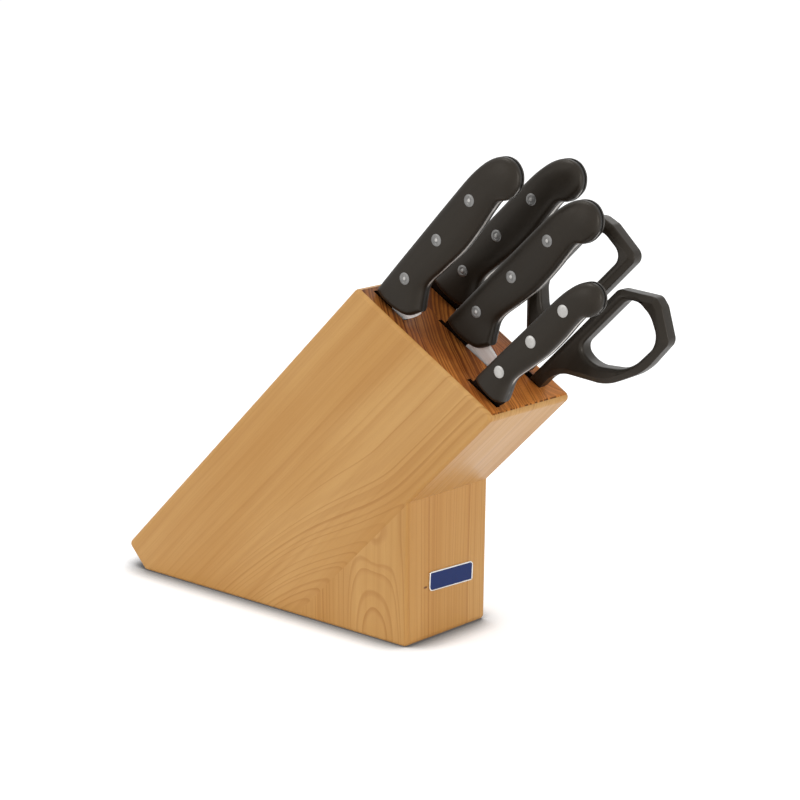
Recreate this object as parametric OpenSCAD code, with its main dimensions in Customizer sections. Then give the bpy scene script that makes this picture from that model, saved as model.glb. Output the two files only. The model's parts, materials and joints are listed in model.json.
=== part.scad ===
// Slanted knife block, glued up from four routed boards and a leg wedge,
// with four full-tang knives and a pair of kitchen scissors in its slots.
// Millimetres. +X runs along the block towards its front, +Z is up, and the
// origin is the middle of the footprint on the surface that it stands on.

/* [Block] */
// Length of the footprint, from the back corner to the front of the leg
base_len = 200; // [185:1:230]
// Thickness of the near outer board, which holds the slots of the small knives
near_cheek_t = 12; // [10:0.5:16]
// Thickness of the near middle board, which holds the chef's knife
near_core_t = 22; // [20:0.5:28]
// Thickness of the far middle board, which is plain
far_core_t = 16; // [14:0.5:22]
// Thickness of the far outer board, which holds the carving knife and scissors
far_cheek_t = 16; // [12:0.5:22]
// Slant of the boards above the table
slant = 45; // [42:0.5:48]
// Depth of the boards, square to the slant
body_depth = 104; // [103:1:112]
// Length of the boards' upper edge
back_len = 248; // [240:1:265]
// Length of the square cut at the boards' lower end
foot_cut = 19; // [14:1:24]
// Lean of the slotted end face away from square
end_lean = 15; // [10:0.5:18]
// Radius of the sanded corners in the side outline
corner_r = 3; // [2.5:0.5:5]
// Radius of the sanded edges round the two side faces
edge_r = 2; // [1:0.25:2.25]

/* [Slots] */
// Clearance between a blade and each side of its slot
side_clear = 0.4; // [0.3:0.05:0.5]
// Clearance between a blade and the slot wall that it rests on
seat_clear = 0.3; // [0.3:0.05:0.6]
// Room between a blade and the slot wall above it
head_room = 1.5; // [1:0.25:2.5]
// Radius that the router leaves at the blind end of a slot
router_r = 3; // [2:0.5:4]

/* [Knife handles] */
// Length of the three large handles
handle_len = 116; // [110:1:124]
// Depth of the large handles at the belly
handle_h = 23; // [21:0.1:25]
// Thickness of one handle scale at its crown
scale_t = 5.4; // [4.6:0.1:6.4]
// Thickness of a scale's edge beside the tang
scale_rim = 1.4; // [1:0.1:2.5]
// Length of the paring knife's handle
paring_handle_len = 94; // [88:1:100]
// Depth of the paring knife's handle at the belly
paring_handle_h = 18; // [16:0.1:19.5]
// Diameter of the rivets
rivet_d = 6.4; // [5:0.1:7.5]
// Length by which each rivet stands proud of the scales
rivet_proud = 0.2; // [0.1:0.05:0.4]
// Place of a handle's first rivet, as a share of the handle's length
rivet_start = 0.19; // [0.17:0.005:0.21]
// Distance between the rivets of a large handle, as a share of its length
rivet_pitch = 0.2655; // [0.24:0.0005:0.275]
// Distance between the paring handle's rivets, as a share of its length
paring_rivet_pitch = 0.284; // [0.26:0.001:0.3]
// Depth of the rivets below the handle's back, as a share of its depth
rivet_drop = 0.42; // [0.38:0.005:0.46]
// Distance of a large handle's guard behind its front corner
guard_reach = 15; // [12:0.5:17]
// Depth of that guard below the handle's back
guard_depth = 27.1; // [25:0.1:28]
// Distance of the paring handle's guard behind its front corner
paring_guard_reach = 7; // [5:0.5:9]
// Depth of that guard below the handle's back
paring_guard_depth = 19.8; // [18.5:0.1:21]

/* [Chef's knife] */
// Length of blade in front of the handle
chef_len = 190; // [170:1:192]
// Depth of the blade at the heel
chef_h = 43; // [38:0.5:43.5]
// Thickness of the blade's back and tang
chef_t = 2; // [1.6:0.1:2.4]

/* [Carving knife] */
// Length of blade in front of the handle
carving_len = 175; // [150:1:190]
// Depth of the blade
carving_h = 24; // [20:0.5:26]
// Thickness of the blade's back and tang
carving_t = 2; // [1.6:0.1:2.4]

/* [Utility knife] */
// Length of blade in front of the handle
utility_len = 150; // [120:1:170]
// Depth of the blade
utility_h = 18; // [15:0.5:21]
// Thickness of the blade's back and tang
utility_t = 1.8; // [1.4:0.1:2.2]

/* [Paring knife] */
// Length of blade in front of the handle
paring_len = 95; // [75:1:110]
// Depth of the blade
paring_h = 17; // [14:0.5:18]
// Thickness of the blade's back and tang
paring_t = 1.6; // [1.2:0.1:2]

/* [Scissors] */
// Thickness of each scissor blade
shear_t = 1.6; // [1.4:0.1:2]
// Depth of one scissor blade in front of the pivot
shear_h = 11; // [9:0.5:12.5]
// Reach of the blades from the pivot to their points
shear_len = 104; // [90:1:115]
// Distance from the slot's mouth in to the pivot
pivot_inset = 18; // [16:0.5:22]
// Diameter of the pivot screw's shank
pivot_d = 5; // [4:0.1:6]
// Diameter of the pivot screw's head and of its nut
pivot_head_d = 9; // [7.5:0.1:11]
// Thickness of the pivot screw's head and of its nut
pivot_head_t = 0.5; // [0.4:0.05:0.8]
// Thickness of the moulded finger bows
bow_t = 10; // [8:0.25:12]
// Rounding of the bows' edges
bow_r = 2.4; // [1.5:0.1:2.6]
// Gap between the two bows when the scissors are shut
bow_gap = 4; // [3:0.25:5]
// Angle by which the slot lets the scissors open
shear_play = 2; // [0:0.25:2.5]

/* [Hidden] */
$fn = 48;

block_w = near_cheek_t + near_core_t + far_core_t + far_cheek_t;
rivet_count = 3;
ring_share = 0.56;    // width of the ring pressed into a rivet's head, of the head's
ring_deep = 0.3;      // depth of that ring
running_fit = 0.05;   // radial clearance of the scissors' pivot
blade_gap = 0.1;      // between the two scissor blades
cut = 1;              // how far a cutting shape runs past what it cuts
mouth_run = 40;       // how far a slot's cutting shape runs out of the end face
mouth_margin = 1;     // how far past the end face a blade's outline still sets its slot

// ---- the block's side outline ----

// Unit vectors along the slant and square to it
along = [cos(slant), sin(slant)];
across = [-sin(slant), cos(slant)];
under_across = foot_cut - body_depth;   // the underside's distance from the back corner
back_low = foot_cut * across;
back_high = back_low + back_len * along;
end_low = back_high + body_depth * tan(end_lean) * along - body_depth * across;
glue_x = -under_across / sin(slant);
leg_h = (base_len * sin(slant) + under_across) / cos(slant);
leg_top = [base_len, leg_h];

// The outline in order, with the radius of each corner
block_corners = [[back_low, corner_r], [[0, 0], corner_r], [[base_len, 0], corner_r],
    [leg_top, 0], [end_low, corner_r], [back_high, corner_r]];

function unit(v) = v / norm(v);

// Points that round one corner p between its neighbours a and b
function corner_arc(a, p, b, r, steps = 4) =
    r == 0 ? [p] :
    let (u = unit(a - p), w = unit(b - p), half = acos(u * w) / 2,
        c = p + unit(u + w) * r / sin(half),
        t0 = p + u * r / tan(half), t1 = p + w * r / tan(half))
    [for (i = [0:steps]) c + r * unit((t0 - c) * (1 - i / steps) + (t1 - c) * i / steps)];

function round_corners(list) =
    let (n = len(list))
    [for (i = [0:n - 1]) each corner_arc(list[(i + n - 1) % n][0], list[i][0],
        list[(i + 1) % n][0], list[i][1])];

// A closed anticlockwise outline moved inwards by d, with mitred corners
function inset(pts, d) =
    let (n = len(pts))
    [for (i = [0:n - 1])
        let (e0 = unit(pts[i] - pts[(i + n - 1) % n]), e1 = unit(pts[(i + 1) % n] - pts[i]),
            n0 = [-e0[1], e0[0]], n1 = [-e1[1], e1[0]])
        pts[i] + d * (n0 + n1) / (1 + n0 * n1)];

// Side faces between closed rings of n points, from ring k to the next
function band(n, k) = [for (i = [0:n - 1]) each
    [[k * n + i, k * n + (i + 1) % n, (k + 1) * n + (i + 1) % n],
     [k * n + i, (k + 1) * n + (i + 1) % n, (k + 1) * n + i]]];

// A closed solid through rings of as many points each, capped at both ends.
// Seen back from the last ring, each ring runs clockwise.
module skin(rings) {
    n = len(rings[0]);
    last = len(rings) - 1;
    polyhedron(
        points = [for (ring = rings) each ring],
        faces = concat(
            [[for (i = [n - 1:-1:0]) i]],
            [[for (i = [0:n - 1]) last * n + i]],
            [for (k = [0:last - 1]) each band(n, k)]),
        convexity = 8);
}

// An outline in the XZ plane at depth y
function at_y(pts, y) = [for (p = pts) [p[0], y, p[1]]];

// A plate from y0 to y1 whose rims are rounded by r. A negative r flares them outwards,
// and run carries both faces on past y0 and y1, as a hole's cutting shape needs.
module rounded_plate(pts, y0, y1, r, run = 0, steps = 3) {
    angles = [for (i = [0:steps]) i * 90 / steps];
    skin(concat(
        run > 0 ? [at_y(inset(pts, r), y0 - run)] : [],
        [for (a = angles) at_y(inset(pts, r * (1 - sin(a))), y0 + abs(r) * (1 - cos(a)))],
        [for (a = angles) at_y(inset(pts, r * (1 - cos(a))), y1 - abs(r) * (1 - sin(a)))],
        run > 0 ? [at_y(inset(pts, r), y1 + run)] : []));
}

// Stands a drawing of the XZ plane up as a plate from y0 to y1
module plate(y0, y1) {
    translate([0, y1, 0]) rotate([90, 0, 0]) linear_extrude(y1 - y0) children();
}

// Moves the block's back corner, at the near side, to its place about the origin
module on_base() {
    translate([-base_len / 2, -block_w / 2, 0]) children();
}

// The frame of the slots: X along the slant from the end face's lower edge, Z to the back
module along_slant() {
    on_base() translate([end_low[0], 0, end_low[1]]) rotate([0, -slant, 0]) children();
}

block_outline = round_corners(block_corners);

// The part of the side view behind the glue line under the boards, and the leg's part
module behind_glue_line() {
    reach = base_len + back_len;
    translate([glue_x, 0]) rotate(slant) translate([-reach, 0]) square([2 * reach, reach]);
}
module before_glue_line() {
    polygon([[glue_x, 0] - 2 * cut * along, [base_len, -2 * cut * sin(slant)], leg_top]);
}

// A thickness of the block that reaches the rounded edges of its side faces
module outer_wood(y0, y1) {
    on_base() intersection() {
        rounded_plate(block_outline, 0, block_w, edge_r);
        plate(y0, y1) children();
    }
}

// An inner board, square all round
module inner_wood(y0, y1) {
    on_base() intersection() {
        plate(y0, y1) polygon(block_outline);
        plate(y0 - cut, y1 + cut) behind_glue_line();
    }
}

// ---- knives ----

// A knife: blade length, depth and thickness, then its heel, profile and handle
utility = [utility_len, utility_h, utility_t, -0.5, 2, 0.6, 2.4, 0.15, handle_len, handle_h,
    guard_reach, guard_depth, rivet_pitch];
carving = [carving_len, carving_h, carving_t, -0.5, 2, 0.6, 2.4, 0.3, handle_len, handle_h,
    guard_reach, guard_depth, rivet_pitch];
chef = [chef_len, chef_h, chef_t, -2, 2, 0.3, 2.2, 0.25, handle_len, handle_h,
    guard_reach, guard_depth, rivet_pitch];
paring = [paring_len, paring_h, paring_t, 1, 2, 0.5, 2.4, 0.2, paring_handle_len,
    paring_handle_h, paring_guard_reach, paring_guard_depth, paring_rivet_pitch];

function blade_len(k) = k[0];
function blade_h(k) = k[1];
function blade_t(k) = k[2];
function heel_x(k) = guard_x(k) + k[3];   // the heel stands k[3] past the guard
function heel_r(k) = k[4];        // rounding of the heel
function belly_from(k) = k[5];    // share of the blade where its edge starts to rise
function belly_power(k) = k[6];   // how late the edge rises
function point_drop(k) = k[7];    // the point's depth as a share of the blade's depth
function grip_len(k) = k[8];
function grip_h(k) = k[9];
function guard_x(k) = k[10];      // the guard's tip behind the handle's front corner
function guard_drop(k) = k[11];   // the guard's tip below the handle's back
function first_rivet(k) = rivet_start * grip_len(k);
function pitch(k) = k[12] * grip_len(k);
function drop_to_rivets(k) = rivet_drop * grip_h(k);

// Place of each knife: slant-frame X and Z of the handle's front corner, and its tilt
utility_at = [-23.8, 98, 2.4];
carving_at = [-20.2, 94.9, -0.75];
chef_at = [-13.5, 66.6, -1.2];
paring_at = [-2, 25, -1.45];

slot_w = max(chef_t, carving_t, utility_t, paring_t) + 2 * side_clear;

// The knives' middle planes: each slot is routed into one board, up to a glue line
near_y = near_cheek_t - slot_w / 2;
middle_y = near_cheek_t + near_core_t - slot_w / 2;
far_glue_y = block_w - far_cheek_t;
far_y = far_glue_y + slot_w / 2;

// Catmull-Rom curve: the point at share s of the way along the list p
function curve_at(p, s) =
    let (n = len(p) - 1, i = min(floor(s * n), n - 1), t = s * n - i,
        b = p[i], c = p[i + 1],
        a = i > 0 ? p[i - 1] : 2 * b - c,
        d = i < n - 1 ? p[i + 2] : 2 * c - b)
    0.5 * (2 * b + (c - a) * t + (2 * a - 5 * b + 4 * c - d) * t * t
        + (3 * b - a - 3 * c + d) * t * t * t);

// Ribs of the handle, from its front to the hook's lowest point, as shares of its length
// and depth: the top's X, then the bottom's X and depth (finger hollow, belly and hook)
handle_ribs = [[0, 0.145, 1.09], [0.085, 0.185, 0.96], [0.19, 0.255, 0.81],
    [0.325, 0.375, 0.88], [0.48, 0.513, 0.965], [0.62, 0.64, 0.95], [0.72, 0.755, 0.89],
    [0.775, 0.815, 0.89], [0.815, 0.852, 1.02], [0.84, 0.89, 1.075]];
top_drop = [0, -0.004, -0.008, -0.011, -0.013, -0.012, -0.008, 0.003, 0.019, 0.034];

// The front's curve, as shares of the guard's place, and the butt's, of length and depth
front_shape = [[0, 0], [0.06, 0.28], [0.22, 0.59], [0.5, 0.86], [1, 1]];
butt_shape = [[0.84, 0.034], [0.9, 0.095], [0.95, 0.205], [0.985, 0.37], [1, 0.59],
    [0.987, 0.84], [0.945, 1.03], [0.89, 1.075]];

function top_curve(k) =
    [for (i = [0:len(handle_ribs) - 1]) [handle_ribs[i][0] * grip_len(k),
        -top_drop[i] * grip_h(k)]];

// The guard's own place bends the first ribs, and fades out towards the butt
function bottom_curve(k) =
    let (n = len(handle_ribs) - 1,
        dx = guard_x(k) - handle_ribs[0][1] * grip_len(k),
        dz = guard_drop(k) - handle_ribs[0][2] * grip_h(k))
    [for (i = [0:n]) let (fade = pow(1 - i / n, 2))
        [handle_ribs[i][1] * grip_len(k) + dx * fade,
            -handle_ribs[i][2] * grip_h(k) - dz * fade]];

function front_curve(k) = [for (p = front_shape) [p[0] * guard_x(k), -p[1] * guard_drop(k)]];
function butt_curve(k) = [for (p = butt_shape) [p[0] * grip_len(k), -p[1] * grip_h(k)]];

end_fade = 4;   // how soon the bulge of the handle's two ends fades out along it

// Shares at which the handle's surface is sampled, closer together near its rounded edges
grip_s = [0, 0.015, 0.045, 0.09, 0.16, 0.24, 0.32, 0.41, 0.5, 0.59, 0.68, 0.77, 0.85, 0.91,
    0.955, 0.985, 1];
grip_t = [0, 0.035, 0.1, 0.22, 0.4, 0.6, 0.78, 0.9, 0.965, 1];

// Side view of the handle as a patch between its four curves: s runs to the butt, t down
function grip_point(k, s, t) =
    let (top = curve_at(top_curve(k), s), bottom = curve_at(bottom_curve(k), s),
        f = front_curve(k), b = butt_curve(k),
        front = curve_at(f, t) - (1 - t) * f[0] - t * f[len(f) - 1],
        butt = curve_at(b, t) - (1 - t) * b[0] - t * b[len(b) - 1])
    (1 - t) * top + t * bottom + pow(1 - s, end_fade) * front + pow(s, end_fade) * butt;

waist = 0.93;       // the scales' thickness between guard and butt, of their crown's
crown_fall = 0.1;   // how much thinner they are near both edges
hollow = 0.14;      // how deep the finger hollow is cut, of their thickness
hollow_at = 0.2;    // its place along the handle, and how far it spreads
hollow_spread = 0.09;
end_round = 0.06;   // shares of the length and depth that the rounded edges take
side_round = 0.3;

// Rise of a rounded edge: 0 at the edge and 1 from distance e inwards
function edge_rise(d, e) = d >= e ? 1 : sqrt(1 - pow(1 - d / e, 2));

// Thickness of a scale: crowned, fuller at the butt, and hollowed behind the guard
function scale_y(k, s, t) =
    let (crown = 1 - crown_fall * pow(2 * t - 1, 2),
        swell = waist + (1 - waist) * pow(2 * s - 1, 2),
        cut_in = hollow * exp(-pow((s - hollow_at) / hollow_spread, 2)) * t * t,
        rise = edge_rise(min(s, 1 - s), end_round) * edge_rise(min(t, 1 - t), side_round))
    scale_rim + (scale_t * (crown * swell - cut_in) - scale_rim) * rise;

// The handle's outline, anticlockwise from the front corner
function grip_outline(k) = concat(
    [for (t = grip_t) grip_point(k, 0, t)],
    [for (i = [1:len(grip_s) - 1]) grip_point(k, grip_s[i], 1)],
    [for (i = [len(grip_t) - 2:-1:0]) grip_point(k, 1, grip_t[i])],
    [for (i = [len(grip_s) - 2:-1:1]) grip_point(k, grip_s[i], 0)]);

// One far-side scale before its inner face is cut and its rivet holes are drilled: the
// outline, a wall round it, and the crowned surface, whose points run down each rib in turn
module scale_blank(k) {
    ns = len(grip_s);
    nt = len(grip_t);
    rim = at_y(grip_outline(k), -cut);
    nr = len(rim);
    border = concat([for (j = [0:nt - 1]) j], [for (i = [1:ns - 1]) i * nt + nt - 1],
        [for (j = [nt - 2:-1:0]) (ns - 1) * nt + j], [for (i = [ns - 2:-1:1]) i * nt]);
    polyhedron(
        points = concat(rim, [for (s = grip_s, t = grip_t)
            let (p = grip_point(k, s, t)) [p[0], scale_y(k, s, t), p[1]]]),
        faces = concat(
            [[for (i = [nr - 1:-1:0]) i]],
            [for (i = [0:nr - 1]) let (i1 = (i + 1) % nr) each
                [[i, i1, nr + border[i1]], [i, nr + border[i1], nr + border[i]]]],
            [for (i = [0:ns - 2], j = [0:nt - 2]) let (c = nr + i * nt + j) each
                [[c, c + 1, c + nt + 1], [c, c + nt + 1, c + nt]]]),
        convexity = 6);
}

// A far-side scale whose inner face lies on the plane y = 0
module scale_solid(k) {
    difference() {
        scale_blank(k);
        plate(-2 * cut, 0) square(4 * grip_len(k), center = true);
    }
}

// The places of a knife's rivets along its handle
module at_rivets(k) {
    for (i = [0:rivet_count - 1])
        translate([first_rivet(k) + i * pitch(k), 0, -drop_to_rivets(k)])
            rotate([-90, 0, 0]) children();
}

module rivet_holes(k) {
    reach = blade_t(k) + scale_t;
    at_rivets(k) translate([0, 0, -reach]) cylinder(d = rivet_d, h = 2 * reach);
}

flare_from = -3;      // where a shallow blade's edge starts to sweep out to the guard
flare_power = 1.7;    // how early that sweep drops
drop_from = 0.55;     // share of the blade at which its back starts to drop to the point
taper = 0.45;         // how much thinner the back is at the point
grind_from = 0.3;     // share of the depth at which the ground lower part starts
keen = 0.15;          // half the thickness of the cutting edge
spine_gap = 0.5;      // least depth of a blade, at its point

// Back and edge of a blade at distance x from the handle's front corner, along its X
function back_z(k, x) =
    let (share = max(0, -x / blade_len(k) - drop_from) / (1 - drop_from))
    -point_drop(k) * blade_h(k) * share * share;
function edge_z(k, x) =
    let (share = max(0, -x / blade_len(k) - belly_from(k)) / (1 - belly_from(k)),
        from_heel = max(0, x - heel_x(k) + heel_r(k)),
        heel = heel_r(k) - sqrt(max(0, heel_r(k) * heel_r(k) - from_heel * from_heel)),
        out = min(1, max(0, x - flare_from) / (guard_x(k) - flare_from)),
        flare = 1 - pow(1 - out, flare_power))
    min(back_z(k, x) - spine_gap, -blade_h(k) + heel
        + (1 - point_drop(k)) * blade_h(k) * pow(share, belly_power(k))
        - max(0, guard_drop(k) - blade_h(k)) * flare);

// Stations along the blade from point to heel, closer together near both ends
function blade_stations(k, steps = 22) =
    [for (i = [0:steps]) -blade_len(k)
        + (heel_x(k) + blade_len(k)) * (1 - cos(180 * i / steps)) / 2];

// Ring round the blade at x: a flat back, a full upper part and a ground lower part
function blade_ring(k, x) =
    let (full = blade_t(k) / 2 * (1 - taper * max(0, -x / blade_len(k))),
        top = back_z(k, x), low = edge_z(k, x), shoulder = top - grind_from * (top - low))
    [[x, -full, top], [x, full, top], [x, full, shoulder], [x, keen, low], [x, -keen, low],
        [x, -full, shoulder]];

module knife_steel(k) {
    color("silver") difference() {
        union() {
            plate(-blade_t(k) / 2, blade_t(k) / 2) polygon(grip_outline(k));
            skin([for (x = blade_stations(k)) blade_ring(k, x)]);
        }
        rivet_holes(k);
    }
}

module handle_scale(k, side) {
    color("#3a3a38") difference() {
        mirror([0, side > 0 ? 0 : 1, 0]) translate([0, blade_t(k) / 2, 0]) scale_solid(k);
        rivet_holes(k);
    }
}

// Rivets with the ring and centre spot of a two-part rivet pressed into each head
module rivets(k) {
    half = blade_t(k) / 2 + scale_t * waist + rivet_proud;
    color("gainsboro") at_rivets(k) difference() {
        translate([0, 0, -half]) cylinder(d = rivet_d, h = 2 * half);
        for (end = [-1, 1]) translate([0, 0, end * half]) difference() {
            cylinder(d = rivet_d * ring_share, h = 2 * ring_deep, center = true);
            cylinder(d = rivet_d * ring_share / 2, h = 3 * ring_deep, center = true);
        }
    }
}

// Puts a knife's frame at its place in the block
module knife_place(at, y) {
    along_slant() translate([at[0], y, at[1]]) rotate([0, -at[2], 0]) children();
}

// ---- slots ----

// Slant-frame points of a knife's blade, as far out as just past the end face
function blade_trace(k, at) =
    [for (x = [-blade_len(k):heel_x(k)], z = [back_z(k, x), edge_z(k, x)])
        let (p = [at[0] + x * cos(at[2]) - z * sin(at[2]),
            at[1] + x * sin(at[2]) + z * cos(at[2])])
        if (p[0] < mouth_margin - p[1] * tan(end_lean)) p];

// Rectangle from (x0, z0) to (x1, z1) whose corners at x0 are rounded by r
module slot_outline(x0, z0, x1, z1, r) {
    polygon(round_corners([[[x0, z0], r], [[x1, z0], 0], [[x1, z1], 0], [[x0, z1], r]]));
}

// A knife's slot, routed into a board from its glue face at y_face
module knife_slot(k, at, y) {
    trace = blade_trace(k, at);
    low = min([for (p = trace) p[1]]) - seat_clear;
    high = max([for (p = trace) p[1]]) + head_room;
    blind = min([for (p = trace) p[0]]) - seat_clear;
    along_slant() plate(y - slot_w / 2, y + slot_w / 2)
        slot_outline(blind, low, mouth_run, high, router_r);
}

// ---- scissors ----

// The scissors' own frame: the pivot is the origin, X runs out to the bows, and Z = 0
// parts the upper half from the lower one. Each half's blade crosses over at the pivot.
shears_across = 20.3;   // distance of the scissors' middle line from the block's underside
shears_at = [-shears_across * tan(end_lean) - pivot_inset, shears_across];
stack_t = 2 * shear_t + blade_gap + 2 * (pivot_head_t + running_fit);
shears_slot_w = stack_t + 2 * side_clear;
shears_y = far_glue_y + shears_slot_w / 2;

bow_front = pivot_inset + 1.2;   // where the moulded shanks begin, just off the end face
tang_h = 4;                      // depth of a blade's tang inside its bow
tang_len = 12;                   // reach of that tang into the bow
tang_z = bow_gap / 2 + 1.7;      // the tang's inner edge from the middle line
lap = 2;                         // how far a shut blade's cutting edge passes the middle
boss_d = 16;                     // the round of each blade about the pivot
tip_len = 4;                     // length of the blunt tip of a blade
tip_back = 1.5;                  // its back's and edge's distances from the middle line
tip_edge = 0.4;
bevel_h = 5;                     // depth of the bevel ground along a scissor edge
bevel_keen = 0.3;                // thickness that it leaves at that edge

// Corners of the bows with their radii: straight beside the gap, with a facetted end
lower_bow_corners = [[[bow_front, -bow_gap / 2], 0], [[bow_front + 2.2, -9.5], 0],
    [[36, -9.5], 18], [[57, -34], 25], [[80, -42.5], 30], [[103, -41], 5],
    [[111.5, -25], 4], [[112.3, -19], 4], [[97, -bow_gap / 2], 5]];
lower_hole_corners = [[[56.8, -9.3], 5], [[57.4, -21.5], 14], [[74, -36.8], 22],
    [[98, -37], 10], [[103.2, -24], 12], [[102, -9.3], 9]];
upper_bow_corners = [[[bow_front, bow_gap / 2], 0], [[116.6, bow_gap / 2], 5],
    [[115.8, 24], 6], [[113, 32], 6], [[104, 38], 10], [[55, 38], 18], [[27, 9.5], 12],
    [[bow_front - 2.2, 9.5], 0]];
upper_hole_corners = [[[51.5, 8.7], 6], [[109.8, 8.7], 6], [[109, 24], 8],
    [[103.5, 30.6], 8], [[60, 30.6], 10], [[50.5, 19], 9]];

// The lower half's blade, whose back is uppermost in front of the pivot
shear_outline = [[bow_front + tang_len, -tang_z], [boss_d / 2, -tang_z], [0, boss_d / 2],
    [-boss_d / 2, shear_h - lap], [-shear_len * 0.6, (shear_h - lap) * 0.9],
    [-shear_len + tip_len, tip_back], [-shear_len, -tip_edge], [-boss_d / 2, -lap],
    [0, -boss_d / 2], [boss_d / 2, -tang_z - tang_h], [bow_front + tang_len, -tang_z - tang_h]];

// Each half keeps to its own side of the scissors' middle plane: near is -1, far is 1
function inner_y(side) = side * blade_gap / 2;
function outer_y(side) = side * (blade_gap / 2 + shear_t);

// The plate that a blade is cut from, for the lower half or with up = -1 for the upper one
module shear_plate(side, up = 1) {
    y0 = min(inner_y(side), outer_y(side));
    plate(y0, y0 + shear_t) polygon([for (p = shear_outline) [p[0], up * p[1]]]);
    translate([0, y0, 0]) rotate([-90, 0, 0]) cylinder(d = boss_d, h = shear_t);
}

// The wedge ground off a blade's outer face along its cutting edge
module shear_bevel(side) {
    slope = (inner_y(side) + side * bevel_keen - outer_y(side)) / bevel_h;
    edge_angle = atan((lap - tip_edge) / (shear_len - boss_d / 2));
    out = outer_y(side) + side * cut;
    translate([-boss_d / 2, 0, -lap]) rotate([0, edge_angle - 90, 0])
        linear_extrude(shear_len) polygon([[bevel_h, outer_y(side)], [bevel_h, out],
            [-cut, out], [-cut, outer_y(side) + slope * (bevel_h + cut)]]);
}

module shear_blade(side, hole_d) {
    color("silver") difference() {
        shear_plate(side);
        shear_bevel(side);
        translate([0, -stack_t, 0]) rotate([-90, 0, 0]) cylinder(d = hole_d, h = 2 * stack_t);
    }
}

// A moulded bow with rounded edges, and a socket that fits round its blade's tang
module bow(outline, hole) {
    color("#33322f") difference() {
        rounded_plate(round_corners(outline), -bow_t / 2, bow_t / 2, bow_r);
        rounded_plate(round_corners(hole), -bow_t / 2, bow_t / 2, -bow_r, run = cut);
        children();
    }
}

// The upper half crosses over the lower one, so its blade is the lower one's mirror image
module flip() {
    mirror([0, 0, 1]) children();
}

module shears_place() {
    along_slant() translate([shears_at[0], shears_y, shears_at[1]]) children();
}

// The pocket that both blades share, with room for the upper one to swing
module shears_slot() {
    swung = [for (p = shear_outline) if (p[0] < pivot_inset)
        [p[0] * cos(shear_play) + p[1] * sin(shear_play),
            -p[0] * sin(shear_play) + p[1] * cos(shear_play)]];
    high = max([for (p = concat(swung, shear_outline)) p[1]]) + side_clear;
    low = min(-shear_h + lap, min([for (p = swung) p[1]])) - seat_clear;
    along_slant() translate([shears_at[0], shears_y, shears_at[1]])
        plate(-shears_slot_w / 2, shears_slot_w / 2)
            slot_outline(-shear_len - seat_clear, low, mouth_run + pivot_inset, high, router_r);
}

// A disc of the pivot on one side of the blades
module pivot_disc(side) {
    start = blade_gap / 2 + shear_t + running_fit;
    rotate([-90 * side, 0, 0]) translate([0, 0, start])
        cylinder(d = pivot_head_d, h = pivot_head_t);
}

// ---- the pieces ----

module near_cheek() {
    color("burlywood") difference() {
        outer_wood(-cut, near_cheek_t) behind_glue_line();
        knife_slot(utility, utility_at, near_y);
        knife_slot(paring, paring_at, near_y);
    }
}

module near_core() {
    color("burlywood") difference() {
        inner_wood(near_cheek_t, near_cheek_t + near_core_t);
        knife_slot(chef, chef_at, middle_y);
    }
}

module far_core() {
    color("burlywood") inner_wood(near_cheek_t + near_core_t, far_glue_y);
}

module far_cheek() {
    color("burlywood") difference() {
        outer_wood(far_glue_y, block_w + cut) behind_glue_line();
        knife_slot(carving, carving_at, far_y);
        shears_slot();
    }
}

module leg() {
    color("burlywood") outer_wood(-cut, block_w + cut) before_glue_line();
}

module utility_frame() { knife_place(utility_at, near_y) children(); }
module carving_frame() { knife_place(carving_at, far_y) children(); }
module chef_frame() { knife_place(chef_at, middle_y) children(); }
module paring_frame() { knife_place(paring_at, near_y) children(); }

module upper_shear_blade() { shears_place() flip() shear_blade(1, pivot_d); }
module upper_bow() {
    shears_place() bow(upper_bow_corners, upper_hole_corners) shear_plate(1, -1);
}
module lower_shear_blade() { shears_place() shear_blade(-1, pivot_d + 2 * running_fit); }
module lower_bow() {
    shears_place() bow(lower_bow_corners, lower_hole_corners) shear_plate(-1);
}

// The screw's head is on the near side, and its shank ends flush with the nut
module pivot_screw() {
    color("gainsboro") shears_place() {
        pivot_disc(-1);
        translate([0, -stack_t / 2, 0]) rotate([-90, 0, 0]) cylinder(d = pivot_d, h = stack_t);
    }
}

module pivot_nut() {
    color("gainsboro") shears_place() difference() {
        pivot_disc(1);
        rotate([-90, 0, 0]) cylinder(d = pivot_d, h = stack_t);
    }
}

near_cheek();
near_core();
far_core();
far_cheek();
leg();
utility_frame() knife_steel(utility);  // utility_blade
utility_frame() handle_scale(utility, -1);  // utility_near_scale
utility_frame() handle_scale(utility, 1);  // utility_far_scale
utility_frame() rivets(utility);  // utility_rivets
carving_frame() knife_steel(carving);  // carving_blade
carving_frame() handle_scale(carving, -1);  // carving_near_scale
carving_frame() handle_scale(carving, 1);  // carving_far_scale
carving_frame() rivets(carving);  // carving_rivets
chef_frame() knife_steel(chef);  // chef_blade
chef_frame() handle_scale(chef, -1);  // chef_near_scale
chef_frame() handle_scale(chef, 1);  // chef_far_scale
chef_frame() rivets(chef);  // chef_rivets
paring_frame() knife_steel(paring);  // paring_blade
paring_frame() handle_scale(paring, -1);  // paring_near_scale
paring_frame() handle_scale(paring, 1);  // paring_far_scale
paring_frame() rivets(paring);  // paring_rivets
upper_shear_blade();
upper_bow();
lower_shear_blade();
lower_bow();
pivot_screw();
pivot_nut();
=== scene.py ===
import json
import math
import bmesh
import bpy
from mathutils import Matrix, Vector


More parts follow.
